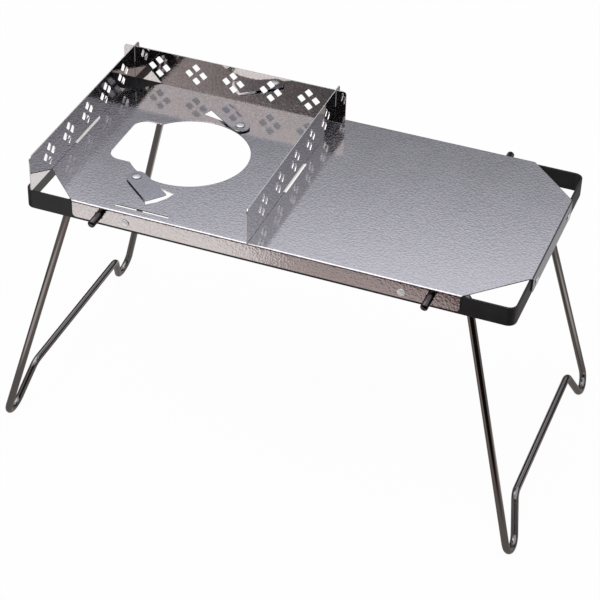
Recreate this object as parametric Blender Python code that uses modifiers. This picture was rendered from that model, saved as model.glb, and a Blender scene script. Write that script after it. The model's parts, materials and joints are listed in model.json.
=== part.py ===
# Folding camping stove table, in metres, +Z up, +X to the right, -Y to the front.
# The origin is on the ground, under the middle of the top. A bent sheet top is riveted round a flat bar
# ring, stands on two folding wire legs, and carries three lift-off windscreens and two swivel plates.

import math

import bmesh
import bpy
from mathutils import Matrix, Vector

MM = 0.001
UP = Vector((0, 0, 1))

# Clearance between pieces that touch
GAP = 0.3 * MM

# Table top sheet
TOP_LENGTH = 400 * MM
TOP_DEPTH = 197 * MM
TOP_HEIGHT = 224.5 * MM
SHEET = 1.0 * MM
CORNER_CUT = 43 * MM
FLANGE_HEIGHT = 14.5 * MM
FLANGE_CORNER_RADIUS = 3 * MM
FOLD_RADIUS = 1.5 * MM

# Burner hole: a circle with a round-cornered ear towards the left end
BURNER_RADIUS = 49 * MM
EAR_DEPTH = 9.8 * MM
EAR_WIDTH = 62 * MM
EAR_CORNER_RADIUS = 10.5 * MM

# Frame ring of flat bar, inside the flanges
BAR_THICKNESS = 1.6 * MM
BAR_HEIGHT = 16 * MM
FRAME_CORNER_RADIUS = 7 * MM

# Rivets that hold the flanges to the frame, set in from the flanges' ends
FRAME_RIVET_LONG_INSET = 45 * MM
FRAME_RIVET_SHORT_INSET = 10.3 * MM
FRAME_RIVET_HEAD_RADIUS = 3.25 * MM
FRAME_RIVET_HEAD_HEIGHT = 1.0 * MM
FRAME_RIVET_SHANK_RADIUS = 1.6 * MM
FRAME_RIVET_TAIL_RADIUS = 2.6 * MM
FRAME_RIVET_TAIL_HEIGHT = 0.9 * MM

# Legs, each one bent wire, their pins set in from the long flanges' ends
WIRE_RADIUS = 3 * MM
PIVOT_INSET = 23 * MM
PIVOT_DROP = 7.65 * MM
PIN_PROJECTION = 14.2 * MM
PIN_CHAMFER = 0.7 * MM
PIN_CLEARANCE = 0.5 * MM
PIN_BEND_RADIUS = 4 * MM
ARM_CLEARANCE = 2 * MM
SHOULDER_REACH = 22 * MM
SHOULDER_RADIUS = 6 * MM
LEG_LEAN = math.radians(15)
FOOT_RADIUS = 11.5 * MM
FOOT_SPREAD = 7.4 * MM
RAIL_HEIGHT = 34.5 * MM
RAIL_INSET = 27.4 * MM
RAIL_BEND_RADIUS = 10 * MM

# Windscreen plates, on a square set in from the top's long sides and its left end
SCREEN_SIDE_INSET = 8.25 * MM
SCREEN_END_INSET = 8.55 * MM
SCREEN_HEIGHT = 30.2 * MM
SCREEN_SHEET = 0.8 * MM
SCREEN_PAST_CROSSING = 9.25 * MM
SCREEN_TOP_RADIUS = 3 * MM
SCREEN_FOOT_RADIUS = 1 * MM
TAB_INSET = 68.1 * MM
TAB_OVER_PIN = 0.35 * MM
TAB_CLEARANCE = 0.35 * MM
SLOT_WIDTH = 2.0 * MM
NOTCH_CLEARANCE = 0.35 * MM

# Groups of four square holes, on their corners, in each windscreen
GROUP_COUNT = 5
GROUP_INSET = 23.25 * MM
GROUP_RISE = 0.3 * MM
SQUARE_OFFSET = 6.3 * MM
SQUARE_SIDE = 5.6 * MM
SQUARE_CORNER_RADIUS = 0.8 * MM

# Swivel plates and their rivets, placed point-symmetrically about the burner hole
SWIVEL_RIM = 7 * MM
SWIVEL_BEARING = math.radians(66.1)
SWIVEL_TURN = math.radians(-38.2)
SWIVEL_SHEET = 1.0 * MM
SWIVEL_END_RADIUS = 8 * MM
SWIVEL_REACH = 33.7 * MM
SWIVEL_HALF_WIDTH = 9.05 * MM
SWIVEL_CORNER_RADIUS = 1 * MM
SWIVEL_RIVET_HEAD_RADIUS = 4 * MM
SWIVEL_RIVET_HEAD_HEIGHT = 1.2 * MM
SWIVEL_RIVET_SHANK_RADIUS = 2 * MM
SWIVEL_RIVET_TAIL_RADIUS = 3 * MM
SWIVEL_RIVET_TAIL_HEIGHT = 0.9 * MM
WASHER_RADIUS = 4.5 * MM
WASHER_SHEET = 0.5 * MM

# Fan-shaped cut-outs under the swivel plates, about the rivets
FAN_INNER_RADIUS = 18 * MM
FAN_MARGIN = 2.9 * MM
FAN_START = math.radians(-54.5)
FAN_END = math.radians(-12)

# Facets: arcs smaller than the small radius take the coarse step
ARC_STEP = math.radians(15)
COARSE_ARC_STEP = math.radians(30)
SMALL_RADIUS = 1.5 * MM
HOLE_SEGMENTS = 20
BURNER_SEGMENTS = 72
RIVET_STEPS = 16
HEAD_STEPS = 3
FOLD_STEPS = 3
WIRE_BEVEL_RESOLUTION = 4
MERGE_DISTANCE = 0.01 * MM

# Colour, roughness and metallic value of each finish
EMBOSSED_STAINLESS = ((0.58, 0.57, 0.58), 0.32, 1.0)
BRIGHT_STAINLESS = ((0.62, 0.61, 0.61), 0.12, 1.0)
RIVET_STEEL = ((0.72, 0.71, 0.69), 0.22, 1.0)
CHROMED_WIRE = ((0.42, 0.40, 0.41), 0.12, 1.0)
BLACK_STEEL = ((0.03, 0.03, 0.03), 0.4, 0.0)

# Sizes that follow from the ones above
FLANGE_X = TOP_LENGTH / 2
FLANGE_Y = TOP_DEPTH / 2
FLANGE_END_X = FLANGE_X - CORNER_CUT
FLANGE_END_Y = FLANGE_Y - CORNER_CUT
FRAME_X = FLANGE_X - SHEET - GAP
FRAME_Y = FLANGE_Y - SHEET - GAP
FRAME_TOP = TOP_HEIGHT - SHEET - GAP
FRAME_BOTTOM = FRAME_TOP - BAR_HEIGHT
FRAME_RIVET_X = FLANGE_END_X - FRAME_RIVET_LONG_INSET
FRAME_RIVET_Y = FLANGE_END_Y - FRAME_RIVET_SHORT_INSET
PIVOT_X = FLANGE_END_X - PIVOT_INSET
PIVOT_Z = TOP_HEIGHT - PIVOT_DROP
ARM_Y = FRAME_Y - BAR_THICKNESS - ARM_CLEARANCE - WIRE_RADIUS
PIN_TIP_Y = FLANGE_Y + PIN_PROJECTION
PIN_HOLE_RADIUS = WIRE_RADIUS + PIN_CLEARANCE
FOOT_Y = FLANGE_Y + FOOT_SPREAD
RAIL_HALF_SPAN = FOOT_Y - RAIL_INSET
SCREEN_SPAN = TOP_DEPTH - 2 * SCREEN_SIDE_INSET
SCREEN_LENGTH = SCREEN_SPAN + 2 * SCREEN_PAST_CROSSING
TAB_LENGTH = SCREEN_SPAN - 2 * TAB_INSET
TAB_DEPTH = PIVOT_DROP - WIRE_RADIUS - TAB_OVER_PIN
GROUP_PITCH = (SCREEN_SPAN - 2 * GROUP_INSET) / (GROUP_COUNT - 1)
GROUP_HEIGHT = GAP + SCREEN_HEIGHT / 2 + GROUP_RISE
BURNER_X = SCREEN_END_INSET + SCREEN_SPAN / 2 - FLANGE_X
EAR_REACH = BURNER_RADIUS + EAR_DEPTH
SWIVEL_OFFSET = BURNER_RADIUS + SWIVEL_RIM
FRAME_HOLE_RADIUS = FRAME_RIVET_SHANK_RADIUS + GAP
SWIVEL_HOLE_RADIUS = SWIVEL_RIVET_SHANK_RADIUS + GAP
SWIVEL_HEIGHT = GAP + WASHER_SHEET + GAP
FAN_OUTER_RADIUS = SWIVEL_REACH + FAN_MARGIN


def new_collection(name):
    """A collection of its own, linked to the scene."""
    collection = bpy.data.collections.new(name)
    bpy.context.scene.collection.children.link(collection)
    return collection


def add_object(name, data, collection, location=(0, 0, 0), rotation=(0, 0, 0)):
    """An object with this mesh or curve, in its collection."""
    obj = bpy.data.objects.new(name, data)
    obj.location = location
    obj.rotation_euler = rotation
    collection.objects.link(obj)
    return obj


def mesh_from(bm, name):
    """A smooth-shaded mesh of this bmesh, with its real edges kept sharp."""
    mesh = bpy.data.meshes.new(name)
    bm.to_mesh(mesh)
    bm.free()
    mesh.shade_smooth()
    mesh.set_sharp_from_angle(angle=math.radians(35))
    return mesh


def finish(obj, look):
    """Give a piece its own material."""
    colour, roughness, metallic = look
    material = bpy.data.materials.new(obj.name)
    material.use_nodes = True
    shader = material.node_tree.nodes["Principled BSDF"]
    shader.inputs["Base Color"].default_value = (*colour, 1)
    shader.inputs["Roughness"].default_value = roughness
    shader.inputs["Metallic"].default_value = metallic
    obj.data.materials.append(material)
    return obj


def as_cutter(obj):
    """Keep a cutter out of the render."""
    obj.hide_render = True
    obj.display_type = "WIRE"
    return obj


def cylinder_cutter(name, radius, length, collection, location, rotation=(0, 0, 0), segments=HOLE_SEGMENTS):
    """A round cutter along its local Z, centred on its location."""
    bm = bmesh.new()
    bmesh.ops.create_cone(
        bm, cap_ends=True, segments=segments, radius1=radius, radius2=radius, depth=length
    )
    return as_cutter(add_object(name, mesh_from(bm, name), collection, location, rotation))


def box_cutter(name, size, collection, location):
    """A square-cornered cutter, centred on its location."""
    bm = bmesh.new()
    bmesh.ops.create_cube(bm, size=1, matrix=Matrix.Diagonal((*size, 1)))
    return as_cutter(add_object(name, mesh_from(bm, name), collection, location))


def cut(obj, collection):
    """Cut everything in the collection out of the object."""
    modifier = obj.modifiers.new(collection.name, "BOOLEAN")
    modifier.operation = "DIFFERENCE"
    modifier.solver = "EXACT"
    modifier.operand_type = "COLLECTION"
    modifier.collection = collection


def thicken(obj, thickness):
    """Make a sheet of an open surface, inwards from its outer face."""
    modifier = obj.modifiers.new("Thickness", "SOLIDIFY")
    modifier.thickness = thickness
    modifier.offset = -1
    modifier.use_even_offset = True
    modifier.use_quality_normals = True


def arc(centre, start, axis, angle):
    """Points that turn the start point about an axis through the centre."""
    arm = start - centre
    widest = COARSE_ARC_STEP if arm.length < SMALL_RADIUS else ARC_STEP
    steps = max(2, math.ceil(abs(angle) / widest - 0.01))
    return [
        centre + Matrix.Rotation(angle * step / steps, 3, axis) @ arm
        for step in range(steps + 1)
    ]


def fillet(before, corner, after, radius):
    """Points of the arc that rounds a corner between two straight runs."""
    back = (before - corner).normalized()
    ahead = (after - corner).normalized()
    half = back.angle(ahead) / 2
    centre = corner + (back + ahead).normalized() * radius / math.sin(half)
    start = corner + back * radius / math.tan(half)
    return arc(centre, start, ahead.cross(back), math.pi - 2 * half)


def rounded_outline(corners):
    """A closed outline through (x, y, radius) corners, in order."""
    points = [Vector((x, y, 0)) for x, y, radius in corners]
    outline = []
    for index, (x, y, radius) in enumerate(corners):
        if radius > 0:
            after = points[(index + 1) % len(points)]
            outline += fillet(points[index - 1], points[index], after, radius)
        else:
            outline.append(points[index])
    return outline


def tangent_point(point, centre, radius, side):
    """Where a line from the point touches a circle in the XY plane; side 1 has the circle on its left."""
    towards = centre - point
    swing = math.acos(radius / towards.length)
    return centre + Matrix.Rotation(side * swing, 3, "Z") @ (-towards.normalized() * radius)


def add_spline(curve, points, closed):
    """A straight-sided spline through the points."""
    spline = curve.splines.new("POLY")
    spline.points.add(len(points) - 1)
    for target, point in zip(spline.points, points):
        target.co = (*point, 1)
    spline.use_cyclic_u = closed
    return spline


def flat_plate(name, outlines, thickness, collection, location, rotation=(0, 0, 0)):
    """A flat plate in its local XY plane: the first outline with the others as holes."""
    curve = bpy.data.curves.new(name, "CURVE")
    curve.dimensions = "2D"
    curve.fill_mode = "BOTH"
    curve.extrude = thickness / 2
    for outline in outlines:
        add_spline(curve, outline, closed=True)
    return add_object(name, curve, collection, location, rotation)


def curve_to_mesh(obj, collection):
    """The mesh of a curve object, in the curve's place and under its name."""
    graph = bpy.context.evaluated_depsgraph_get()
    mesh = bpy.data.meshes.new_from_object(obj.evaluated_get(graph))
    name = obj.name
    place = obj.matrix_world.copy()
    bpy.data.objects.remove(obj)
    bm = bmesh.new()
    bm.from_mesh(mesh)
    bmesh.ops.remove_doubles(bm, verts=bm.verts[:], dist=MERGE_DISTANCE)
    bm.to_mesh(mesh)
    bm.free()
    solid = add_object(name, mesh, collection)
    solid.matrix_world = place
    return solid


def turned(name, profile, closed, collection, location, rotation=(0, 0, 0)):
    """A solid turned about its local Z from (radius, height) points that run down its outer side."""
    bm = bmesh.new()
    points = [bm.verts.new((radius, 0, height)) for radius, height in profile]
    for first, second in zip(points, points[1:]):
        bm.edges.new((first, second))
    if closed:
        bm.edges.new((points[-1], points[0]))
    obj = add_object(name, mesh_from(bm, name), collection, location, rotation)
    screw = obj.modifiers.new("Turn", "SCREW")
    screw.axis = "Z"
    screw.steps = RIVET_STEPS
    screw.render_steps = RIVET_STEPS
    screw.use_merge_vertices = True
    screw.merge_threshold = MERGE_DISTANCE
    return obj


def dome(radius, base, height):
    """Profile of a low domed head, from its crown out to its rim."""
    angles = [math.pi / 2 * step / HEAD_STEPS for step in range(HEAD_STEPS + 1)]
    return [(radius * math.sin(angle), base + height * math.cos(angle)) for angle in angles]


def rivet(name, head, shank_radius, tail, head_seat, tail_seat, collection, location, outward):
    """A rivet along the outward direction; seats are measured from the sheet's outer face."""
    head_radius, head_height = head
    tail_radius, tail_height = tail
    profile = dome(head_radius, head_seat, head_height)
    profile += [
        (shank_radius, head_seat),
        (shank_radius, -tail_seat),
        (tail_radius, -tail_seat),
        (tail_radius, -tail_seat - tail_height),
        (0, -tail_seat - tail_height),
    ]
    rotation = outward.to_track_quat("Z", "Y").to_euler()
    return finish(turned(name, profile, False, collection, location, rotation), RIVET_STEEL)


def sheet_corner_grid(half_x, half_y, corner, segments):
    """A flat rectangle with its corners cut or rounded."""
    bm = bmesh.new()
    bmesh.ops.create_grid(
        bm, x_segments=1, y_segments=1, size=1, matrix=Matrix.Diagonal((half_x, half_y, 1, 1))
    )
    bmesh.ops.bevel(
        bm, geom=bm.verts[:], offset=corner, offset_type="OFFSET", segments=segments, profile=0.5,
        affect="VERTICES",
    )
    return bm


def fold_flange(bm, outward):
    """Bend one side of the sheet down, its ends on the line of the cut corners, and round its low corners."""
    along = outward.cross(UP)
    edge = max(bm.edges, key=lambda item: sum((vert.co.dot(outward) for vert in item.verts)))
    angles = [math.pi / 2 * step / FOLD_STEPS for step in range(1, FOLD_STEPS + 1)]
    places = [(FOLD_RADIUS * math.sin(angle), FOLD_RADIUS * (math.cos(angle) - 1)) for angle in angles]
    places.append((FOLD_RADIUS, -FLANGE_HEIGHT))
    last_out, last_down = 0, 0
    for out, down in places:
        extruded = bmesh.ops.extrude_edge_only(bm, edges=[edge])["geom"]
        edge = next(item for item in extruded if isinstance(item, bmesh.types.BMEdge))
        for vert in edge.verts:
            inward = -math.copysign(out - last_out, vert.co.dot(along))
            vert.co += outward * (out - last_out) + along * inward + Vector((0, 0, down - last_down))
        last_out, last_down = out, down
    bmesh.ops.bevel(
        bm, geom=list(edge.verts), offset=FLANGE_CORNER_RADIUS, offset_type="OFFSET", segments=3,
        profile=0.5, affect="VERTICES",
    )


def make_table_top(parts, drills, top_cutters):
    """The bent sheet top with every hole in it."""
    bm = sheet_corner_grid(
        FLANGE_X - FOLD_RADIUS, FLANGE_Y - FOLD_RADIUS, CORNER_CUT - 2 * FOLD_RADIUS, segments=1
    )
    for direction in ((1, 0, 0), (-1, 0, 0), (0, 1, 0), (0, -1, 0)):
        fold_flange(bm, Vector(direction))
    top = add_object("table_top", mesh_from(bm, "table_top"), parts, (0, 0, TOP_HEIGHT))
    thicken(top, SHEET)
    cut(top, drills)
    cut(top, top_cutters)
    return finish(top, EMBOSSED_STAINLESS)


def make_frame_ring(parts, drills):
    """The flat bar ring inside the flanges."""
    bm = sheet_corner_grid(FRAME_X, FRAME_Y, FRAME_CORNER_RADIUS, segments=6)
    bmesh.ops.delete(bm, geom=bm.faces[:], context="FACES_ONLY")
    raised = bmesh.ops.extrude_edge_only(bm, edges=bm.edges[:])["geom"]
    raised_verts = [item for item in raised if isinstance(item, bmesh.types.BMVert)]
    bmesh.ops.translate(bm, verts=raised_verts, vec=(0, 0, BAR_HEIGHT))
    bmesh.ops.recalc_face_normals(bm, faces=bm.faces[:])
    ring = add_object("frame_ring", mesh_from(bm, "frame_ring"), parts, (0, 0, FRAME_BOTTOM))
    thicken(ring, BAR_THICKNESS)
    cut(ring, drills)
    return finish(ring, BLACK_STEEL)


def make_drills(drills):
    """Long drills that make the pin and rivet holes of both long sides, or both ends, in one go."""
    lengthwise = (0, math.pi / 2, 0)
    crosswise = (math.pi / 2, 0, 0)
    rivet_z = FRAME_BOTTOM + BAR_HEIGHT / 2
    for side, place in (("left", -1), ("right", 1)):
        cylinder_cutter(
            f"pin_drill_{side}", PIN_HOLE_RADIUS, 2 * TOP_DEPTH, drills,
            (place * PIVOT_X, 0, PIVOT_Z), crosswise,
        )
        cylinder_cutter(
            f"rivet_drill_{side}", FRAME_HOLE_RADIUS, 2 * TOP_DEPTH, drills,
            (place * FRAME_RIVET_X, 0, rivet_z), crosswise, RIVET_STEPS,
        )
    for side, place in (("front", -1), ("back", 1)):
        cylinder_cutter(
            f"rivet_drill_{side}", FRAME_HOLE_RADIUS, 2 * TOP_LENGTH, drills,
            (0, place * FRAME_RIVET_Y, rivet_z), lengthwise, RIVET_STEPS,
        )


def screen_places():
    """Name, plate centre and turn about Z of the four sides of the windscreen square."""
    half = SCREEN_SPAN / 2
    return (
        ("left", Vector((BURNER_X - half, 0, TOP_HEIGHT)), math.pi / 2),
        ("right", Vector((BURNER_X + half, 0, TOP_HEIGHT)), math.pi / 2),
        ("back", Vector((BURNER_X, half, TOP_HEIGHT)), 0),
        ("front", Vector((BURNER_X, -half, TOP_HEIGHT)), 0),
    )


def swivel_places():
    """Name, rivet place and plate turn of the two swivel plates."""
    offset = SWIVEL_OFFSET * Vector((math.cos(SWIVEL_BEARING), math.sin(SWIVEL_BEARING), 0))
    centre = Vector((BURNER_X, 0, TOP_HEIGHT))
    return (
        ("front", centre - offset, SWIVEL_TURN),
        ("back", centre + offset, SWIVEL_TURN + math.pi),
    )


def make_top_cutters(top_cutters):
    """The burner hole, the windscreen slots, the fan cut-outs and the swivel rivet holes."""
    through = 10 * SHEET
    cylinder_cutter(
        "burner_cutter", BURNER_RADIUS, through, top_cutters, (BURNER_X, 0, TOP_HEIGHT),
        segments=BURNER_SEGMENTS,
    )
    ear = rounded_outline((
        (0, -EAR_WIDTH / 2, 0),
        (0, EAR_WIDTH / 2, 0),
        (-EAR_REACH, EAR_WIDTH / 2, EAR_CORNER_RADIUS),
        (-EAR_REACH, -EAR_WIDTH / 2, EAR_CORNER_RADIUS),
    ))
    ear_plate = flat_plate("ear_cutter", [ear], through, top_cutters, (BURNER_X, 0, TOP_HEIGHT))
    as_cutter(curve_to_mesh(ear_plate, top_cutters))

    slot_length = TAB_LENGTH + 2 * TAB_CLEARANCE
    slot_shift = SLOT_WIDTH / 2 - GAP - SCREEN_SHEET / 2
    for side, centre, turn in screen_places():
        if side in ("left", "right"):
            size = (SLOT_WIDTH, slot_length, through)
            shift = Vector((slot_shift, 0, 0))
        else:
            size = (slot_length, SLOT_WIDTH, through)
            shift = Vector((0, slot_shift, 0))
        box_cutter(f"slot_cutter_{side}", size, top_cutters, centre + shift)

    for side, centre, turn in swivel_places():
        cylinder_cutter(f"swivel_drill_{side}", SWIVEL_HOLE_RADIUS, through, top_cutters, centre)
        sweep = FAN_END - FAN_START
        first_side = Vector((math.cos(FAN_START), math.sin(FAN_START), 0))
        last_side = Vector((math.cos(FAN_END), math.sin(FAN_END), 0))
        outline = arc(Vector(), first_side * FAN_OUTER_RADIUS, UP, sweep)
        outline += arc(Vector(), last_side * FAN_INNER_RADIUS, UP, -sweep)
        fan = flat_plate(
            f"fan_cutter_{side}", [outline], through, top_cutters, centre,
            (0, 0, turn - SWIVEL_TURN),
        )
        as_cutter(curve_to_mesh(fan, top_cutters))


def square_hole(centre_x, centre_y):
    """A round-cornered square standing on its corner."""
    reach = SQUARE_SIDE / math.sqrt(2)
    return rounded_outline((
        (centre_x + reach, centre_y, SQUARE_CORNER_RADIUS),
        (centre_x, centre_y + reach, SQUARE_CORNER_RADIUS),
        (centre_x - reach, centre_y, SQUARE_CORNER_RADIUS),
        (centre_x, centre_y - reach, SQUARE_CORNER_RADIUS),
    ))


def hole_groups():
    """The outlines of a windscreen's groups of four holes."""
    offsets = ((SQUARE_OFFSET, 0), (0, SQUARE_OFFSET), (-SQUARE_OFFSET, 0), (0, -SQUARE_OFFSET))
    outlines = []
    for index in range(GROUP_COUNT):
        centre_x = (index - (GROUP_COUNT - 1) / 2) * GROUP_PITCH
        outlines += [square_hole(centre_x + dx, GROUP_HEIGHT + dy) for dx, dy in offsets]
    return outlines


def screen_outline(low_notches, high_notches):
    """A windscreen's outline from the tab up, with half-height notches centred at the given places."""
    half = SCREEN_LENGTH / 2
    foot = GAP
    top = GAP + SCREEN_HEIGHT
    middle = GAP + SCREEN_HEIGHT / 2
    notch = SCREEN_SHEET / 2 + NOTCH_CLEARANCE
    corners = [
        (-half, foot, SCREEN_FOOT_RADIUS),
        (-TAB_LENGTH / 2, foot, 0),
        (-TAB_LENGTH / 2, -TAB_DEPTH, SCREEN_FOOT_RADIUS),
        (TAB_LENGTH / 2, -TAB_DEPTH, SCREEN_FOOT_RADIUS),
        (TAB_LENGTH / 2, foot, 0),
    ]
    for place in low_notches:
        roof = middle + GAP / 2
        corners += [
            (place - notch, foot, 0),
            (place - notch, roof, 0),
            (place + notch, roof, 0),
            (place + notch, foot, 0),
        ]
    corners += [
        (half, foot, SCREEN_FOOT_RADIUS),
        (half, top, SCREEN_TOP_RADIUS),
    ]
    for place in sorted(high_notches, reverse=True):
        floor = middle - GAP / 2
        corners += [
            (place + notch, top, 0),
            (place + notch, floor, 0),
            (place - notch, floor, 0),
            (place - notch, top, 0),
        ]
    corners.append((-half, top, SCREEN_TOP_RADIUS))
    return rounded_outline(corners)


def make_windscreens(parts):
    """The left, right and back plates; the front slot stays empty."""
    half_span = SCREEN_SPAN / 2
    for side, centre, turn in screen_places():
        if side == "front":
            continue
        if side == "back":
            outline = screen_outline([], [-half_span, half_span])
        else:
            outline = screen_outline([half_span], [])
        plate = flat_plate(
            f"windscreen_{side}", [outline] + hole_groups(), SCREEN_SHEET, parts, centre,
            (math.pi / 2, 0, turn),
        )
        finish(plate, BRIGHT_STAINLESS)


def swivel_outline():
    """A plate that is round about its rivet and widens to a straight far edge."""
    left_corner = Vector((SWIVEL_REACH, SWIVEL_HALF_WIDTH, 0))
    right_corner = Vector((SWIVEL_REACH, -SWIVEL_HALF_WIDTH, 0))
    touch = tangent_point(left_corner, Vector(), SWIVEL_END_RADIUS, 1)
    round_end = arc(Vector(), touch, UP, 2 * (math.pi - math.atan2(touch.y, touch.x)))
    outline = round_end
    outline += fillet(round_end[-1], right_corner, left_corner, SWIVEL_CORNER_RADIUS)
    outline += fillet(right_corner, left_corner, touch, SWIVEL_CORNER_RADIUS)
    return outline


def make_swivels(parts):
    """Each swivel plate with its washer and rivet."""
    ring = [
        (WASHER_RADIUS, WASHER_SHEET / 2),
        (WASHER_RADIUS, -WASHER_SHEET / 2),
        (SWIVEL_HOLE_RADIUS, -WASHER_SHEET / 2),
        (SWIVEL_HOLE_RADIUS, WASHER_SHEET / 2),
    ]
    hole = arc(Vector(), Vector((SWIVEL_HOLE_RADIUS, 0, 0)), UP, 2 * math.pi)[:-1]
    for side, centre, turn in swivel_places():
        washer_place = centre + UP * (GAP + WASHER_SHEET / 2)
        finish(turned(f"swivel_washer_{side}", ring, True, parts, washer_place), RIVET_STEEL)
        plate_place = centre + UP * (SWIVEL_HEIGHT + SWIVEL_SHEET / 2)
        plate = flat_plate(
            f"swivel_plate_{side}", [swivel_outline(), hole], SWIVEL_SHEET, parts, plate_place,
            (0, 0, turn),
        )
        finish(plate, BRIGHT_STAINLESS)
        rivet(
            f"swivel_rivet_{side}",
            (SWIVEL_RIVET_HEAD_RADIUS, SWIVEL_RIVET_HEAD_HEIGHT),
            SWIVEL_RIVET_SHANK_RADIUS,
            (SWIVEL_RIVET_TAIL_RADIUS, SWIVEL_RIVET_TAIL_HEIGHT),
            SWIVEL_HEIGHT + SWIVEL_SHEET + GAP,
            SHEET + GAP,
            parts, centre, UP,
        )


def make_frame_rivets(parts):
    """Two rivets on each side, through the flange and the bar."""
    height = FRAME_BOTTOM + BAR_HEIGHT / 2
    places = (
        ("front_left", (-FRAME_RIVET_X, -FLANGE_Y), (0, -1)),
        ("front_right", (FRAME_RIVET_X, -FLANGE_Y), (0, -1)),
        ("back_left", (-FRAME_RIVET_X, FLANGE_Y), (0, 1)),
        ("back_right", (FRAME_RIVET_X, FLANGE_Y), (0, 1)),
        ("left_front", (-FLANGE_X, -FRAME_RIVET_Y), (-1, 0)),
        ("left_back", (-FLANGE_X, FRAME_RIVET_Y), (-1, 0)),
        ("right_front", (FLANGE_X, -FRAME_RIVET_Y), (1, 0)),
        ("right_back", (FLANGE_X, FRAME_RIVET_Y), (1, 0)),
    )
    for name, place, outward in places:
        rivet(
            f"frame_rivet_{name}",
            (FRAME_RIVET_HEAD_RADIUS, FRAME_RIVET_HEAD_HEIGHT),
            FRAME_RIVET_SHANK_RADIUS,
            (FRAME_RIVET_TAIL_RADIUS, FRAME_RIVET_TAIL_HEIGHT),
            GAP,
            SHEET + GAP + BAR_THICKNESS + GAP,
            parts, (*place, height), Vector((*outward, 0)),
        )


def leg_half_path():
    """Centreline of the right leg's front half from the pin's tip to the rail, seen from the pivot axis."""
    # Arm and shoulder, in the XZ plane: the shoulder's crown lies just under the sheet
    crown_z = TOP_HEIGHT - SHEET - GAP - WIRE_RADIUS - PIVOT_Z
    shoulder = Vector((SHOULDER_REACH, crown_z - SHOULDER_RADIUS))
    arm_rise = math.atan2(shoulder.y, shoulder.x) + math.asin(SHOULDER_RADIUS / shoulder.length)
    slope_x = shoulder.x + shoulder.y * math.tan(LEG_LEAN) + SHOULDER_RADIUS / math.cos(LEG_LEAN)
    arm_length = slope_x / (math.cos(arm_rise) + math.sin(arm_rise) * math.tan(LEG_LEAN))
    corner_z = arm_length * math.sin(arm_rise)

    # The rest lies in a leaning plane: s runs down the slope from the pins' height, y to the back
    def on_slope(point):
        s, y = point.x, point.y
        return Vector((slope_x + s * math.sin(LEG_LEAN), y, -s * math.cos(LEG_LEAN)))

    shoulder_corner = Vector((-corner_z / math.cos(LEG_LEAN), -ARM_Y, 0))
    foot_s = (PIVOT_Z - WIRE_RADIUS) / math.cos(LEG_LEAN) - FOOT_RADIUS
    foot = Vector((foot_s, -FOOT_Y, 0))
    rail_s = (PIVOT_Z - RAIL_HEIGHT) / math.cos(LEG_LEAN)
    rail_corner = Vector((rail_s, -RAIL_HALF_SPAN, 0))
    middle = Vector((rail_s, 0, 0))
    foot_start = tangent_point(shoulder_corner, foot, FOOT_RADIUS, 1)
    foot_end = tangent_point(rail_corner, foot, FOOT_RADIUS, -1)
    foot_turn = (foot_start - foot).angle(foot_end - foot)

    pin_tip = Vector((0, -PIN_TIP_Y, 0))
    pin_corner = Vector((0, -ARM_Y, 0))
    path = [pin_tip, pin_tip + Vector((0, PIN_CHAMFER, 0))]
    path += fillet(pin_tip, pin_corner, on_slope(shoulder_corner), PIN_BEND_RADIUS)
    path += fillet(pin_corner, on_slope(shoulder_corner), on_slope(foot_start), SHOULDER_RADIUS)
    path += [on_slope(point) for point in arc(foot, foot_start, UP, foot_turn)]
    rail_bend = fillet(foot_end, rail_corner, middle, RAIL_BEND_RADIUS)
    path += [on_slope(point) for point in rail_bend]
    return path


def make_leg(name, side, parts):
    """One bent wire leg, its origin on the axis of its pins; side is 1 to the right, -1 to the left."""
    front = [Vector((side * point.x, point.y, point.z)) for point in leg_half_path()]
    back = [Vector((point.x, -point.y, point.z)) for point in reversed(front)]
    curve = bpy.data.curves.new(name, "CURVE")
    curve.dimensions = "3D"
    curve.bevel_depth = WIRE_RADIUS
    curve.bevel_resolution = WIRE_BEVEL_RESOLUTION
    curve.use_fill_caps = True
    spline = add_spline(curve, front + back, closed=False)
    spline.use_smooth = True
    tip_radius = 1 - PIN_CHAMFER / WIRE_RADIUS
    spline.points[0].radius = tip_radius
    spline.points[-1].radius = tip_radius
    leg = add_object(name, curve, parts, (side * PIVOT_X, 0, PIVOT_Z))
    return finish(leg, CHROMED_WIRE)


def main():
    for obj in list(bpy.data.objects):
        bpy.data.objects.remove(obj)
    parts = new_collection("camping_stove_table")
    drills = new_collection("pin_and_rivet_drills")
    top_cutters = new_collection("top_cutters")
    make_drills(drills)
    make_top_cutters(top_cutters)
    make_table_top(parts, drills, top_cutters)
    make_frame_ring(parts, drills)
    make_leg("left_leg", -1, parts)
    make_leg("right_leg", 1, parts)
    make_windscreens(parts)
    make_swivels(parts)
    make_frame_rivets(parts)


main()
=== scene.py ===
# Studio scene of the folding camping stove table: fine pieces, finishes, floor, light and camera.
# Metres, +Z up, +X to the plain end of the top, -Y to the front.

import json
import math

import bmesh
import bpy
from mathutils import Matrix, Vector


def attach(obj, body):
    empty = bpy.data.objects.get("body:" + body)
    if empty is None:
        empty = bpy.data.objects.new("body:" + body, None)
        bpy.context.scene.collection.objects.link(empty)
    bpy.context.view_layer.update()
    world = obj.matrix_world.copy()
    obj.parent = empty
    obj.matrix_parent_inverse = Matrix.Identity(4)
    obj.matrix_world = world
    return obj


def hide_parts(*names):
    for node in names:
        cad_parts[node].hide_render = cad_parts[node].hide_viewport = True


MM = 0.001
UP = Vector((0, 0, 1))
WHITE = (1, 1, 1)
SIDES = (("front", -1), ("back", 1))
ENDS = (("left", -1), ("right", 1))

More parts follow.
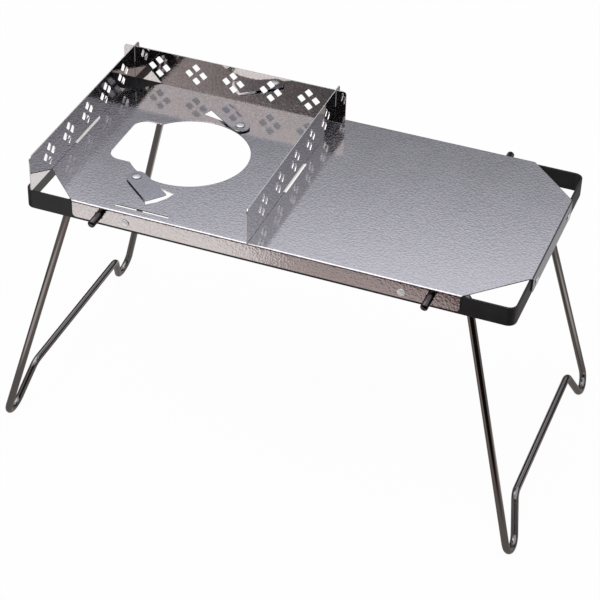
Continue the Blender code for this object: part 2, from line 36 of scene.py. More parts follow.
# Places and sizes that the fine pieces share with the solids
TOP_HEIGHT = 224.5 * MM
SHEET = 1.0 * MM
GAP = 0.3 * MM
FLANGE_X = 200 * MM
FLANGE_Y = 98.5 * MM
BAR_THICKNESS = 1.6 * MM
FRAME_RIVET_X = 112 * MM
FRAME_RIVET_Y = 45.2 * MM
FRAME_RIVET_Z = 215.2 * MM
WIRE_RADIUS = 3 * MM
PIVOT_X = 134 * MM
PIVOT_Z = 216.85 * MM
PIN_TIP_Y = 112.7 * MM
PIN_CHAMFER = 0.7 * MM
PIN_BEND_RADIUS = 4 * MM
ARM_Y = 90.6 * MM
SHOULDER_REACH = 22 * MM
SHOULDER_RADIUS = 6 * MM
LEG_LEAN = math.radians(15)
FOOT_RADIUS = 11.5 * MM
FOOT_Y = 105.7 * MM
RAIL_HEIGHT = 34.5 * MM
RAIL_HALF_SPAN = 78.5 * MM
RAIL_BEND_RADIUS = 10 * MM
BURNER_X = -101.2 * MM
SWIVEL_X = 22.688 * MM
SWIVEL_Y = 51.198 * MM

# Rivets, measured outward from the sheet's face: the head starts at seat, the tail at grip inside
SWIVEL_RIVET = {
    "head_radius": 4 * MM, "head_height": 1.2 * MM, "shank": 2 * MM,
    "tail_radius": 3 * MM, "tail_height": 0.9 * MM, "seat": 2.4 * MM, "grip": SHEET + GAP,
}
FRAME_RIVET = {
    "head_radius": 3.25 * MM, "head_height": 1.0 * MM, "shank": 1.6 * MM,
    "tail_radius": 2.6 * MM, "tail_height": 0.9 * MM, "seat": GAP,
    "grip": SHEET + GAP + BAR_THICKNESS + GAP,
}
LAND_SHARE = 0.22
TAIL_EDGE_SHARE = 0.12

# Walls of the windscreen slots that move to open the slots, and where a shortened tab ends under the top
SLOT_WALLS_X = (-190.15 * MM, -9.65 * MM)
FRONT_SLOT_WALL_Y = -90.95 * MM
SLOT_REACH = 24 * MM
SLOT_WIDENING = 0.6 * MM
SLOT_MATCH = 0.1 * MM
TAB_REACH = 0.45 * MM

# Fineness of the pieces
WIRE_SIDES = 28
TURN_STEPS = 48
DOME_STEPS = 10
ARC_STEP = math.radians(5)
FLAT_ANGLE = math.radians(0.5)
SHEARED_ANGLE = math.radians(42)
WIRE_SHARP_ANGLE = math.radians(50)
RIVET_SHARP_ANGLE = math.radians(40)

# What the mirror-like metal sees of the studio's walls and ceiling, by direction. Light bands: sine of the
# height where a band starts and ends, and how much lighter it gets. They come lower towards the right.
SKY_LEVEL = 0.12
SKY_RISES = ((0.20, 0.520, 0.18), (0.520, 0.562, 0.29), (0.562, 0.588, 0.41))
SKY_TINT = (0.905, 0.908, 1.0)
SKY_RIGHT = (0.31, 0.39)
SKY_RIGHT_LIFT = 0.050
# Warm wall in front, seen in the back plate by way of the top: direction and the cosines where it starts and
# is full, then its lower edge, which slants across, and the shades under that edge from left to right
WALL = ((-0.282, -0.749, 0.600), 0.88, 0.96)
WALL_COLOUR = (0.96, 0.893, 0.883)
WALL_EDGE_SLOPE = 0.651
WALL_EDGE = (-0.010, 0.002)
UNDER_WALL_LEFT = (0.52, 0.445, 0.430)
UNDER_WALL_RIGHT = (0.150, 0.130, 0.130)
UNDER_WALL_TURN = (-0.360, -0.302)
# Dark and dim cards: direction, the cosines where a card starts and is full, colour
SKY_CARDS = (
    ((0.125, 0.700, 0.703), 0.970, 0.990, (0.330, 0.330, 0.330)),
    ((0.660, 0.735, 0.140), 0.850, 0.930, (0.050, 0.045, 0.045)),
    ((-0.674, 0.698, 0.242), 0.940, 0.975, (0.015, 0.013, 0.013)),
    ((0.395, -0.886, 0.242), 0.924, 0.937, (0.012, 0.011, 0.012)),
)
# What falls on the object from the whole sky
SKY_LIGHT = (0.80, 0.81, 0.83)

# Floor as the metal sees it. Cards: centre, half length along x and y, share where it is full, colour
FLOOR_SHADE = (0.30, 0.275, 0.265)
FLOOR_CARDS = (
    ((-0.52, -0.18), (0.24, 0.30), 0.3, (0.130, 0.120, 0.118)),
    ((-0.02, 0.25), (0.31, 0.18), 0.5, (1.000, 0.985, 0.970)),
    ((-0.03, -0.32), (0.26, 0.16), 0.4, (0.520, 0.430, 0.410)),
    ((-0.27, -0.35), (0.20, 0.15), 0.72, (1.000, 0.930, 0.905)),
    ((0.36, 0.03), (0.15, 0.12), 0.3, (1.000, 0.940, 0.900)),
    ((0.155, 0.01), (0.10, 0.09), 0.3, (0.150, 0.145, 0.130)),
    ((0.26, 0.31), (0.16, 0.12), 0.4, (0.350, 0.345, 0.360)),
)
# In front of a slanting line, which stops short of the object, the floor is dark: metres past that line
# where a shade starts and is full, and the shade
FRONT_SLOPE = 0.79
FRONT_OFFSET = -0.45
FRONT_LIMIT = -0.20
FRONT_SHADES = (
    (-0.04, 0.02, (0.190, 0.125, 0.115)),
    (0.03, 0.10, (0.010, 0.008, 0.008)),
)
# The floor itself: paper that is white to the camera, apart from a share that keeps the object's shadow
PAPER = (0.80, 0.80, 0.80)
PAPER_ROUGHNESS = 0.5
PAPER_GLOW = 0.96
PAPER_HALF_SIZE = 6

# The photograph's viewpoint, with angles in radians from the front, and its frame in pixels
CAMERA_AZIMUTH = 0.35960
CAMERA_ELEVATION = 0.64317
CAMERA_ROLL = 0.027205
CAMERA_DISTANCE = 1.61961
CAMERA_TARGET = Vector((-0.01556, 0.00170, 0.1))
FRAME_PIXELS = 600
FOCAL_PIXELS = 1958.205
CENTRE_PIXELS = (286.448, 301.189)
SENSOR_WIDTH = 36

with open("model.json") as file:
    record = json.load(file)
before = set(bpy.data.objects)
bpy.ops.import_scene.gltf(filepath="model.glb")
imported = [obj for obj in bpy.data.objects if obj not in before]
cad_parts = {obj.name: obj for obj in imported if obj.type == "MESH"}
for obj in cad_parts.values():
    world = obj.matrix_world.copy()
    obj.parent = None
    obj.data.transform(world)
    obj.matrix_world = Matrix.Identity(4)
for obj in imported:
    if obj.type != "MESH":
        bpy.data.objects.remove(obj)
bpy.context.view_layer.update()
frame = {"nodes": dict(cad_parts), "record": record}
node_body = {node: body for body, nodes in frame["record"]["behaviour"]["bodies"].items() for node in nodes}


class Nodes:
    """Shader nodes of one material or world, made and linked in a line each."""

    def __init__(self, tree):
        self.tree = tree
        tree.nodes.clear()

    def put(self, socket, value):
        """Link another socket to this one, or set a plain value on it."""
        if isinstance(value, bpy.types.NodeSocket):
            self.tree.links.new(value, socket)
        else:
            socket.default_value = value

    def add(self, kind, inputs=None, **settings):
        made = self.tree.nodes.new("ShaderNode" + kind)
        for name, value in settings.items():
            setattr(made, name, value)
        for key, value in (inputs or {}).items():
            self.put(made.inputs[key], value)
        return made

    def math(self, operation, *operands):
        return self.add("Math", dict(enumerate(operands)), operation=operation).outputs[0]

    def scaled(self, value, by, plus):
        return self.math("MULTIPLY_ADD", value, by, plus)

    def varied(self, value, noise, amount):
        """The value, moved up and down by a noise about its middle."""
        return self.scaled(self.math("SUBTRACT", noise, 0.5), amount, value)

    def vector(self, operation, *operands):
        return self.add("VectorMath", dict(enumerate(operands)), operation=operation).outputs["Vector"]

    def measure(self, operation, *operands):
        """A number made from vectors, such as a length."""
        return self.add("VectorMath", dict(enumerate(operands)), operation=operation).outputs["Value"]

    def split(self, vector):
        return tuple(self.add("SeparateXYZ", {0: vector}).outputs)

    def ramp(self, value, low, high, to_low=0.0, to_high=1.0, smooth=True):
        span = {"From Min": low, "From Max": high, "To Min": to_low, "To Max": to_high}
        kind = "SMOOTHSTEP" if smooth else "LINEAR"
        return self.add("MapRange", {"Value": value, **span}, interpolation_type=kind).outputs["Result"]

    def mix(self, factor, first, second, blend="MIX"):
        """Two colours mixed; a plain colour is given as red, green and blue."""
        made = self.add("Mix", data_type="RGBA", blend_type=blend)
        self.put(made.inputs[0], factor)
        for index, colour in ((6, first), (7, second)):
            self.put(made.inputs[index], (*colour, 1) if isinstance(colour, tuple) else colour)
        return made.outputs[2]

    def grey(self, value):
        return self.add("CombineColor", {0: value, 1: value, 2: value}).outputs[0]

    def noise(self, vector, scale, detail=2.0, roughness=0.5):
        inputs = {"Vector": vector, "Scale": scale, "Detail": detail, "Roughness": roughness}
        return self.add("TexNoise", inputs).outputs["Fac"]

    def stretched(self, vector, scale):
        return self.add("Mapping", {"Vector": vector, "Scale": scale}).outputs[0]

    def bump(self, height, distance, strength=1.0, **normal):
        inputs = {"Height": height, "Strength": strength, "Distance": distance, **normal}
        return self.add("Bump", inputs).outputs[0]


def new_material(name):
    """A material with its nodes, and the place on the object as a socket."""
    material = bpy.data.materials.new(name)
    material.use_nodes = True
    nodes = Nodes(material.node_tree)
    return material, nodes, nodes.add("TexCoord").outputs["Object"]


def finish_metal(nodes, colour, roughness, normal, metallic=1.0, **extra):
    """The shader's end, from sockets of colour, roughness and normal."""
    inputs = {"Base Color": colour, "Roughness": roughness, "Normal": normal, "Metallic": metallic}
    shader = nodes.add("BsdfPrincipled", {**inputs, **extra})
    nodes.add("OutputMaterial", {"Surface": shader.outputs[0]})


def stainless(name, colour, roughness, depth, upright_depth, marks_depth, edges=0.0, lean=(0, 0, 0)):
    """Stainless sheet: a fine leather-like rolled grain, faint rolling marks, a little waviness and smears.

    Edges is how far the sheared edges that look up or down are dull, with their colour lifted near white as
    a painted highlight. The lean tilts how a plate mirrors, as a loose fit in its slot does: radians by the
    way a face looks.
    """
    material, nodes, place = new_material(name)
    looks = nodes.add("NewGeometry").outputs["Normal"]
    flat = nodes.ramp(nodes.math("ABSOLUTE", nodes.split(looks)[2]), low=0.6, high=0.9)

    drift = nodes.add("TexNoise", {"Vector": place, "Scale": 300.0, "Detail": 1.0}).outputs["Color"]
    bent = nodes.vector("MULTIPLY_ADD", drift, (2.2 * MM,) * 3, place)
    cells = nodes.add(
        "TexVoronoi", {"Vector": bent, "Scale": 560.0, "Smoothness": 0.6, "Randomness": 1.0},
        feature="SMOOTH_F1",
    ).outputs["Distance"]
    fine = nodes.noise(place, scale=1100.0)
    grain_depth = nodes.ramp(flat, 0.0, 1.0, upright_depth, depth, smooth=False)
    grain = nodes.bump(nodes.scaled(fine, by=0.30, plus=cells), grain_depth)
    marks = nodes.noise(nodes.stretched(place, (30, 30, 2600)), scale=1.0, detail=3.0, roughness=0.6)
    wave = nodes.noise(place, scale=24.0, detail=1.0)
    bump = nodes.bump(nodes.scaled(wave, by=9.0, plus=marks), marks_depth, Normal=grain)
    tilt = nodes.measure("DOT_PRODUCT", looks, lean)
    leaning = nodes.vector("ADD", bump, nodes.add("CombineXYZ", {"Z": tilt}).outputs[0])

    smear = nodes.noise(place, scale=42.0, detail=3.0, roughness=0.6)
    tone = nodes.scaled(nodes.ramp(cells, low=0.1, high=0.75), by=-0.18, plus=1.07)
    tone = nodes.varied(tone, smear, amount=0.10)
    tone = nodes.varied(tone, fine, amount=0.18)
    # Painted highlight: sheared edges that look up or down are rougher, and their colour is lifted near
    # white
    sheared = nodes.math("MULTIPLY", flat, edges)
    tinted = nodes.mix(1.0, nodes.mix(sheared, colour, (0.98, 0.97, 0.97)), nodes.grey(tone), "MULTIPLY")
    rough = nodes.varied(roughness, smear, amount=0.08)
    rough = nodes.scaled(sheared, by=0.22, plus=rough)
    rough = nodes.math("MULTIPLY", rough, nodes.ramp(flat, 0.0, 1.0, to_low=0.7, smooth=False))
    finish_metal(nodes, tinted, rough, nodes.vector("NORMALIZE", leaning))
    return material


def plate_steel(name, lean):
    """The bright sheet of the windscreens."""
    return stainless(
        name, (0.650, 0.635, 0.640), roughness=0.05, depth=0.008 * MM, upright_depth=0.009 * MM,
        marks_depth=0.002 * MM, edges=1.0, lean=lean,
    )


def rivet_steel(name, colour, metallic):
    """Dull zinc-like steel of the rivets and washers, with a fine tumbled surface."""
    material, nodes, place = new_material(name)
    dents = nodes.noise(place, scale=900.0, detail=3.0)
    tone = nodes.scaled(nodes.noise(place, scale=420.0), by=0.16, plus=0.90)
    roughness = nodes.scaled(dents, by=0.16, plus=0.26)
    bump = nodes.bump(dents, 0.03 * MM, strength=0.6)
    finish_metal(nodes, nodes.mix(1.0, colour, nodes.grey(tone), "MULTIPLY"), roughness, bump, metallic)
    return material


def chromed_wire(name):
    """Wire with bright plating and drawing marks along it; darker at the pins, a painted shade for the dark
    they mirror.

    The V coordinate is the way from the nearer end, in metres.
    """
    material, nodes, place = new_material(name)
    along = nodes.add("UVMap").outputs[0]
    marks = nodes.noise(nodes.stretched(along, (46, 26, 1)), scale=1.0, detail=3.0, roughness=0.6)
    spots = nodes.noise(place, scale=240.0, detail=3.0)
    bump = nodes.bump(nodes.scaled(spots, by=0.5, plus=marks), 0.006 * MM)
    tone = nodes.varied(nodes.scaled(marks, by=0.20, plus=0.88), spots, amount=0.12)
    # Painted shade: the colour darkens towards the pins, standing in for the dark that they mirror
    pin_shade_share = nodes.ramp(nodes.split(along)[1], low=16 * MM, high=34 * MM)
    pin_shaded_plating = nodes.mix(pin_shade_share, (0.100, 0.085, 0.085), (0.285, 0.273, 0.265))
    roughness = nodes.scaled(spots, by=0.10, plus=0.08)
    finish_metal(nodes, nodes.mix(1.0, pin_shaded_plating, nodes.grey(tone), "MULTIPLY"), roughness, bump)
    return material


def black_steel(name):
    """Satin black coating on the flat bar."""
    material, nodes, place = new_material(name)
    bump = nodes.bump(nodes.noise(place, scale=1300.0), 0.02 * MM, strength=0.5)
    cloud = nodes.noise(place, scale=60.0, detail=3.0)
    colour = nodes.mix(nodes.ramp(cloud, 0.3, 0.7), (0.009, 0.009, 0.010), (0.016, 0.016, 0.017))
    roughness = nodes.scaled(cloud, by=0.16, plus=0.30)
    finish_metal(nodes, colour, roughness, bump, metallic=0.0, **{"Specular IOR Level": 0.38})
    return material


MATERIALS = {
    "left_plate": plate_steel("left_plate", (0, 0, 0)),
    "right_plate": plate_steel("right_plate", (0.006, 0, 0)),
    "back_plate": plate_steel("back_plate", (0, -0.0175, 0)),
    "embossed_stainless": stainless(
        "embossed_stainless", (0.640, 0.630, 0.640), roughness=0.09, depth=0.029 * MM,
        upright_depth=0.105 * MM, marks_depth=0.002 * MM,
    ),
    "plain_stainless": stainless(
        "plain_stainless", (0.600, 0.605, 0.640), roughness=0.09, depth=0.001 * MM,
        upright_depth=0.001 * MM, marks_depth=0.002 * MM,
    ),
    "rivet_steel": rivet_steel("rivet_steel", (0.86, 0.86, 0.85), metallic=0.5),
    # Painted shade: a darker copy of the rivet steel for the rivets that look up, against the stronger light
    # from above
    "painted_shade_rivet_steel": rivet_steel("painted_shade_rivet_steel", (0.70, 0.70, 0.70), metallic=0.9),
    "chromed_wire": chromed_wire("chromed_wire"),
    "black_steel": black_steel("black_steel"),
}


def placed(name, data):
    """A new object of this data in the scene."""
    obj = bpy.data.objects.new(name, data)
    bpy.context.scene.collection.objects.link(obj)
    return obj


def mesh_from(bm, name, sharp_angle=None):
    """The mesh, shaded smooth between edges sharper than the angle where one is given."""
    mesh = bpy.data.meshes.new(name)
    bm.to_mesh(mesh)
    bm.free()
    if sharp_angle is not None:
        mesh.shade_smooth()
        mesh.set_sharp_from_angle(angle=sharp_angle)
    return mesh


def dress(obj, node, slot, look=None):
    """Finish a piece and let it stand for the solid of this node."""
    obj.data.materials.clear()
    obj.data.materials.append(MATERIALS[look or slot])
    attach(obj, node_body[node])
    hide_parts(node)


def widen_slots(bm):
    """Move the far wall of each windscreen slot that is open to view, so that it's as wide as it looks."""
    for vert in bm.verts:
        x, y = vert.co.x, vert.co.y
        if vert.co.z < TOP_HEIGHT - 2 * SHEET:
            continue
        for wall in SLOT_WALLS_X:
            if abs(x - wall) < SLOT_MATCH and abs(y) < SLOT_REACH:
                vert.co.x += SLOT_WIDENING
        if abs(y - FRONT_SLOT_WALL_Y) < SLOT_MATCH and abs(x - BURNER_X) < SLOT_REACH:
            vert.co.y -= SLOT_WIDENING


def shorten_tab(bm):
    """End a windscreen's tab just under the sheet, so that the slot shows the ground beside it."""
    for vert in bm.verts:
        vert.co.z = max(vert.co.z, TOP_HEIGHT - TAB_REACH)


def dress_solid(node, slot, look=None, width=0.1 * MM, segments=2, change=None):
    """Dress a copy of a solid with its sheared edges eased by a width and its flats shaded flat."""
    bm = bmesh.new()
    bm.from_mesh(frame["nodes"][node].data)
    bmesh.ops.remove_doubles(bm, verts=bm.verts[:], dist=0.01 * MM)
    bmesh.ops.dissolve_limit(
        bm, angle_limit=FLAT_ANGLE, verts=bm.verts[:], edges=bm.edges[:], delimit=set()
    )
    if change:
        change(bm)
    mesh = mesh_from(bm, "fine_" + node)
    mesh.shade_smooth()
    obj = placed("fine_" + node, mesh)
    bevel = obj.modifiers.new("Eased", "BEVEL")
    bevel.width = width
    bevel.segments = segments
    bevel.limit_method = "ANGLE"
    bevel.angle_limit = SHEARED_ANGLE
    bevel.use_clamp_overlap = False
    bevel.harden_normals = False
    weighted = obj.modifiers.new("Weighted", "WEIGHTED_NORMAL")
    weighted.mode = "FACE_AREA"
    weighted.keep_sharp = False
    graph = bpy.context.evaluated_depsgraph_get()
    finished = bpy.data.meshes.new_from_object(obj.evaluated_get(graph))
    obj.modifiers.clear()
    obj.data = finished
    dress(obj, node, slot, look)


def arc(centre, start, axis, angle):
    """Points that turn the start point about an axis through the centre."""
    steps = max(2, math.ceil(abs(angle) / ARC_STEP))
    return [
        centre + Matrix.Rotation(angle * step / steps, 3, axis) @ (start - centre)
        for step in range(steps + 1)
    ]


def fillet(before, corner, after, radius):
    """Points of the arc that rounds a corner between two straight runs."""
    back = (before - corner).normalized()
    ahead = (after - corner).normalized()
    half = back.angle(ahead) / 2
    centre = corner + (back + ahead).normalized() * radius / math.sin(half)
    return arc(centre, corner + back * radius / math.tan(half), ahead.cross(back), math.pi - 2 * half)


def tangent_point(point, centre, radius, side):
    """Where a line from the point touches a circle in the XY plane; side 1 has the circle on its left."""
    towards = centre - point
    swing = math.acos(radius / towards.length)
    return centre + Matrix.Rotation(side * swing, 3, "Z") @ (-towards.normalized() * radius)


def leg_half_path():
    """Centreline of the right leg's front half from the pin's tip to the rail, seen from the pivot axis.

    The leg's sloping plane is drawn flat: X is the way down the slope, Y is across.
    """
    crown_z = TOP_HEIGHT - SHEET - GAP - WIRE_RADIUS - PIVOT_Z
    shoulder = Vector((SHOULDER_REACH, crown_z - SHOULDER_RADIUS))
    arm_rise = math.atan2(shoulder.y, shoulder.x) + math.asin(SHOULDER_RADIUS / shoulder.length)
    slope_x = shoulder.x + shoulder.y * math.tan(LEG_LEAN) + SHOULDER_RADIUS / math.cos(LEG_LEAN)
    arm_length = slope_x / (math.cos(arm_rise) + math.sin(arm_rise) * math.tan(LEG_LEAN))
    corner_z = arm_length * math.sin(arm_rise)

    def on_slope(point):
        return Vector((slope_x + point.x * math.sin(LEG_LEAN), point.y, -point.x * math.cos(LEG_LEAN)))

    shoulder_corner = Vector((-corner_z / math.cos(LEG_LEAN), -ARM_Y, 0))
    foot = Vector(((PIVOT_Z - WIRE_RADIUS) / math.cos(LEG_LEAN) - FOOT_RADIUS, -FOOT_Y, 0))
    rail_x = (PIVOT_Z - RAIL_HEIGHT) / math.cos(LEG_LEAN)
    rail_corner = Vector((rail_x, -RAIL_HALF_SPAN, 0))
    foot_start = tangent_point(shoulder_corner, foot, FOOT_RADIUS, 1)
    foot_end = tangent_point(rail_corner, foot, FOOT_RADIUS, -1)
    foot_turn = (foot_start - foot).angle(foot_end - foot)

    pin_tip = Vector((0, -PIN_TIP_Y, 0))
    pin_corner = Vector((0, -ARM_Y, 0))
    path = [pin_tip]
    path += fillet(pin_tip, pin_corner, on_slope(shoulder_corner), PIN_BEND_RADIUS)
    path += fillet(pin_corner, on_slope(shoulder_corner), on_slope(foot_start), SHOULDER_RADIUS)
    path += [on_slope(point) for point in arc(foot, foot_start, UP, foot_turn)]
    rail_bend = fillet(foot_end, rail_corner, Vector((rail_x, 0, 0)), RAIL_BEND_RADIUS)
    path += [on_slope(point) for point in rail_bend]
    return path


def wire(name, path, radius, chamfer):
    """A round wire along the path, with chamfered ends and a UV layer of turn and length."""
    tangents = []
    for index in range(len(path)):
        before = path[max(index - 1, 0)]
        after = path[min(index + 1, len(path) - 1)]
        tangents.append((after - before).normalized())
    sides = [tangents[0].orthogonal().normalized()]
    for before, after in zip(tangents, tangents[1:]):
        sides.append(before.rotation_difference(after) @ sides[-1])

    # Rings of the wire: centre, place on the path and radius, with a centre point and a chamfer at each end
    last = len(path) - 1
    rings = [(path[0], 0, 0.0), (path[0], 0, radius - chamfer)]
    rings.append((path[0] + tangents[0] * chamfer, 0, radius))
    rings += [(point, index, radius) for index, point in enumerate(path)][1:-1]
    rings.append((path[last] - tangents[last] * chamfer, last, radius))
    rings += [(path[last], last, radius - chamfer), (path[last], last, 0.0)]

    bm = bmesh.new()
    layer = bm.loops.layers.uv.new("UVMap")
    loops, length, previous = [], 0.0, path[0]
    for centre, index, wide in rings:
        length += (centre - previous).length
        previous = centre
        side = sides[index]
        other = tangents[index].cross(side)
        if wide == 0:
            ring = [bm.verts.new(centre)] * WIRE_SIDES
        else:
            ring = []
            for step in range(WIRE_SIDES):
                angle = 2 * math.pi * step / WIRE_SIDES
                around = side * math.cos(angle) + other * math.sin(angle)
                ring.append(bm.verts.new(centre + around * wide))
        loops.append((ring, length))
    for (ring, start), (ring_after, end) in zip(loops, loops[1:]):
        for step in range(WIRE_SIDES):
            nxt = (step + 1) % WIRE_SIDES
            corners = []
            for vert, u, v in (
                (ring[step], step, start), (ring[nxt], step + 1, start),
                (ring_after[nxt], step + 1, end), (ring_after[step], step, end),
            ):
                if vert not in [corner[0] for corner in corners]:
                    corners.append((vert, u, v))
            face = bm.faces.new([corner[0] for corner in corners])
            for loop, (vert, u, v) in zip(face.loops, corners):
                loop[layer].uv = (u / WIRE_SIDES, min(v, length - v))
    bmesh.ops.recalc_face_normals(bm, faces=bm.faces[:])
    return placed(name, mesh_from(bm, name, WIRE_SHARP_ANGLE))


def make_leg(node, side):
    centre = Vector((side * PIVOT_X, 0, PIVOT_Z))
    front = [Vector((side * point.x, point.y, point.z)) for point in leg_half_path()]
    back = [Vector((point.x, -point.y, point.z)) for point in reversed(front)]
    path = [centre + point for point in front + back]
    dress(wire("fine_" + node, path, WIRE_RADIUS, PIN_CHAMFER), node, "chromed_wire")


def turned(name, profile):
    """A piece turned about Z from (radius, height) points."""
    bm = bmesh.new()
    points = [bm.verts.new((radius, 0, height)) for radius, height in profile]
    for first, second in zip(points, points[1:]):
        bm.edges.new((first, second))
    bmesh.ops.spin(
        bm, geom=bm.verts[:] + bm.edges[:], cent=(0, 0, 0), axis=(0, 0, 1), angle=2 * math.pi,
        steps=TURN_STEPS, use_merge=True,
    )
    bmesh.ops.remove_doubles(bm, verts=bm.verts[:], dist=0.001 * MM)
    bmesh.ops.recalc_face_normals(bm, faces=bm.faces[:])
    return placed(name, mesh_from(bm, name, RIVET_SHARP_ANGLE))


def make_rivet(
    node, look, place, outward, head_radius, head_height, shank, tail_radius, tail_height, seat, grip
):
    """A rivet with a low dome, a rim with a small land and an upset tail."""
    land = LAND_SHARE * head_height
    profile = [
        (head_radius * math.sin(angle), seat + land + (head_height - land) * math.cos(angle))
        for angle in (math.pi / 2 * step / DOME_STEPS for step in range(DOME_STEPS + 1))
    ]
    edge = TAIL_EDGE_SHARE * tail_height
    profile += [
        (head_radius, seat), (shank, seat), (shank, -grip),
        (tail_radius, -grip), (tail_radius, -grip - tail_height + edge),
        (tail_radius - edge, -grip - tail_height), (0, -grip - tail_height),
    ]
    obj = turned("fine_" + node, profile)
    turn = Vector(outward).to_track_quat("Z", "Y").to_matrix().to_4x4()
    obj.data.transform(Matrix.Translation(place) @ turn)
    dress(obj, node, "rivet_steel", look)


def make_pieces():
    make_leg("left_leg", -1)
    make_leg("right_leg", 1)
    dress_solid("table_top", "embossed_stainless", width=0.14 * MM, change=widen_slots)
    dress_solid("frame_ring", "black_steel", width=0.3 * MM, segments=3)
    for side in ("left", "right", "back"):
        change = shorten_tab if side == "right" else None
        dress_solid("windscreen_" + side, "bright_stainless", side + "_plate", change=change)
    for side, y in SIDES:
        dress_solid("swivel_plate_" + side, "bright_stainless", "plain_stainless", width=0.12 * MM)
        dress_solid("swivel_washer_" + side, "rivet_steel", width=0.06 * MM)
        place = (BURNER_X + y * SWIVEL_X, y * SWIVEL_Y, TOP_HEIGHT)
        # The rivets on top take the darker copy of the rivet steel, a painted shade
        make_rivet("swivel_rivet_" + side, "painted_shade_rivet_steel", place, UP, **SWIVEL_RIVET)
    for side, y in SIDES:
        for end, x in ENDS:
            place = (x * FRAME_RIVET_X, y * FLANGE_Y, FRAME_RIVET_Z)
            make_rivet(f"frame_rivet_{side}_{end}", "rivet_steel", place, (0, y, 0), **FRAME_RIVET)
    for end, x in ENDS:
        for side, y in SIDES:
            place = (x * FLANGE_X, y * FRAME_RIVET_Y, FRAME_RIVET_Z)
            make_rivet(f"frame_rivet_{end}_{side}", "rivet_steel", place, (x, 0, 0), **FRAME_RIVET)


def background_rays(nodes):
    """Light Path sockets of the camera, mirror and window rays."""
    path = nodes.add("LightPath").outputs
    return path["Is Camera Ray"], path["Is Glossy Ray"], path["Is Transmission Ray"]


def make_world():
    """A white backdrop to the camera, the studio to mirrors, and an even soft light on everything else."""
    world = bpy.data.worlds.new("studio")
    world.use_nodes = True
    bpy.context.scene.world = world
    nodes = Nodes(world.node_tree)
    camera, glossy, window = background_rays(nodes)
    direction = nodes.add("TexCoord").outputs["Generated"]
    along, across, height = nodes.split(direction)

    def card_share(centre, start, full):
        nearness = nodes.measure("DOT_PRODUCT", direction, Vector(centre).normalized())
        return nodes.ramp(nearness, start, full)

    lift = nodes.ramp(along, *SKY_RIGHT, to_high=SKY_RIGHT_LIFT, smooth=False)
    lifted = nodes.math("ADD", height, lift)
    level = SKY_LEVEL
    for low, high, rise in SKY_RISES:
        level = nodes.math("ADD", nodes.ramp(lifted, low, high, to_high=rise, smooth=False), level)
    colour = nodes.mix(1.0, nodes.grey(level), SKY_TINT, "MULTIPLY")
    edge = nodes.scaled(across, by=WALL_EDGE_SLOPE, plus=height)
    under = nodes.mix(nodes.ramp(along, *UNDER_WALL_TURN), UNDER_WALL_LEFT, UNDER_WALL_RIGHT)
    wall = nodes.mix(nodes.ramp(edge, *WALL_EDGE), under, WALL_COLOUR)
    colour = nodes.mix(card_share(*WALL), colour, wall)
    for centre, start, full, card in SKY_CARDS:
        colour = nodes.mix(card_share(centre, start, full), colour, card)

    shown = nodes.mix(glossy, WHITE, colour)
    seen = nodes.math("MAXIMUM", nodes.math("MAXIMUM", camera, glossy), window)
    background = nodes.add("Background", {"Color": nodes.mix(seen, SKY_LIGHT, shown), "Strength": 1.0})
    nodes.add("OutputWorld", {"Surface": background.outputs[0]})


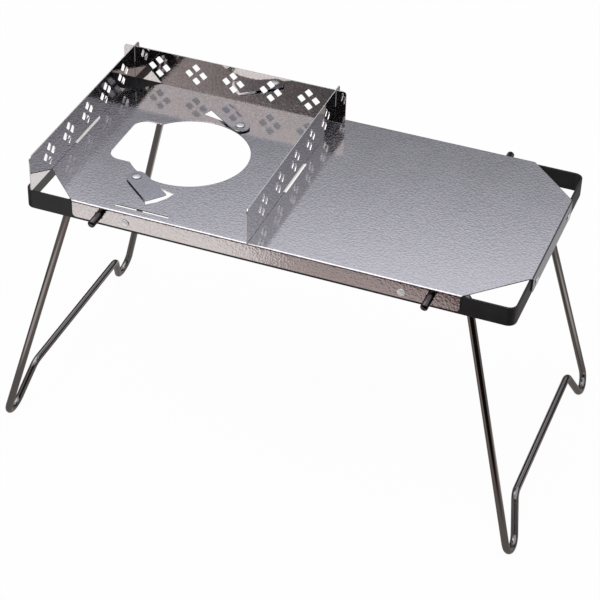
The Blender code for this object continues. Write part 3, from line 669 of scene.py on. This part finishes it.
def make_floor():
    """White paper that keeps the object's shadow, and soft areas of light and dark to mirrors."""
    bm = bmesh.new()
    bmesh.ops.create_grid(bm, x_segments=1, y_segments=1, size=PAPER_HALF_SIZE)
    floor = placed("floor", mesh_from(bm, "floor"))
    material, nodes, place = new_material("floor_paper")
    camera, glossy, window = background_rays(nodes)
    colour = FLOOR_SHADE
    for (x, y), (half_x, half_y), full, card in FLOOR_CARDS:
        shares = nodes.vector(
            "MULTIPLY_ADD", place, (1 / half_x, 1 / half_y, 0), (-x / half_x, -y / half_y, 0)
        )
        away = nodes.measure("LENGTH", shares)
        colour = nodes.mix(nodes.ramp(away, 1.0, full), colour, card)
    along, across, _ = nodes.split(place)
    slant = nodes.scaled(along, by=FRONT_SLOPE, plus=FRONT_OFFSET)
    past_line = nodes.math("SUBTRACT", nodes.math("MINIMUM", slant, FRONT_LIMIT), across)
    for start, full, shade in FRONT_SHADES:
        colour = nodes.mix(nodes.ramp(past_line, start, full), colour, shade)

    glow = nodes.add("Emission", {"Color": nodes.mix(glossy, WHITE, colour)})
    paper = nodes.add("BsdfDiffuse", {"Color": (*PAPER, 1), "Roughness": PAPER_ROUGHNESS})
    seen = nodes.math("MULTIPLY", camera, PAPER_GLOW)
    seen = nodes.math("MAXIMUM", nodes.math("MAXIMUM", seen, glossy), window)
    shader = nodes.add("MixShader", {0: seen, 1: paper.outputs[0], 2: glow.outputs[0]})
    nodes.add("OutputMaterial", {"Surface": shader.outputs[0]})
    floor.data.materials.append(material)


def area_lamp(name, place, target, size, power, mirrored=False):
    """A soft lamp, seen in the metal only where it is mirrored."""
    data = bpy.data.lights.new(name, "AREA")
    data.shape = "RECTANGLE"
    data.size, data.size_y = size
    data.energy = power
    lamp = placed(name, data)
    lamp.location = place
    lamp.rotation_euler = (Vector(target) - Vector(place)).to_track_quat("-Z", "Y").to_euler()
    lamp.visible_glossy = mirrored


def make_camera():
    """The photograph's viewpoint; the shift moves the frame by its small off-centre crop."""
    level = math.cos(CAMERA_ELEVATION)
    back = Vector((
        math.sin(CAMERA_AZIMUTH) * level, -math.cos(CAMERA_AZIMUTH) * level, math.sin(CAMERA_ELEVATION),
    ))
    right = Vector((math.cos(CAMERA_AZIMUTH), math.sin(CAMERA_AZIMUTH), 0))
    up = back.cross(right)
    rolled_right = right * math.cos(CAMERA_ROLL) + up * math.sin(CAMERA_ROLL)
    rolled_up = up * math.cos(CAMERA_ROLL) - right * math.sin(CAMERA_ROLL)
    rotation = Matrix((rolled_right, rolled_up, back)).transposed().to_4x4()
    data = bpy.data.cameras.new("camera")
    data.sensor_width = SENSOR_WIDTH
    data.lens = FOCAL_PIXELS / FRAME_PIXELS * SENSOR_WIDTH
    data.shift_x = (FRAME_PIXELS / 2 - CENTRE_PIXELS[0]) / FRAME_PIXELS
    data.shift_y = (CENTRE_PIXELS[1] - FRAME_PIXELS / 2) / FRAME_PIXELS
    data.clip_start = 0.05
    camera = placed("camera", data)
    camera.matrix_world = Matrix.Translation(CAMERA_TARGET + back * CAMERA_DISTANCE) @ rotation
    bpy.context.scene.camera = camera


make_pieces()
make_world()
make_floor()
area_lamp(
    "soft_key", place=(-0.43, -0.3, 1.7), target=(-0.43, -0.3, 0), size=(1.3, 1.5), power=7.3, mirrored=True
)
area_lamp("soft_fill", place=(1.3, -0.6, 1.4), target=(0, 0, 0.1), size=(0.9, 0.9), power=4)
make_camera()
bpy.context.scene.view_settings.view_transform = "Standard"
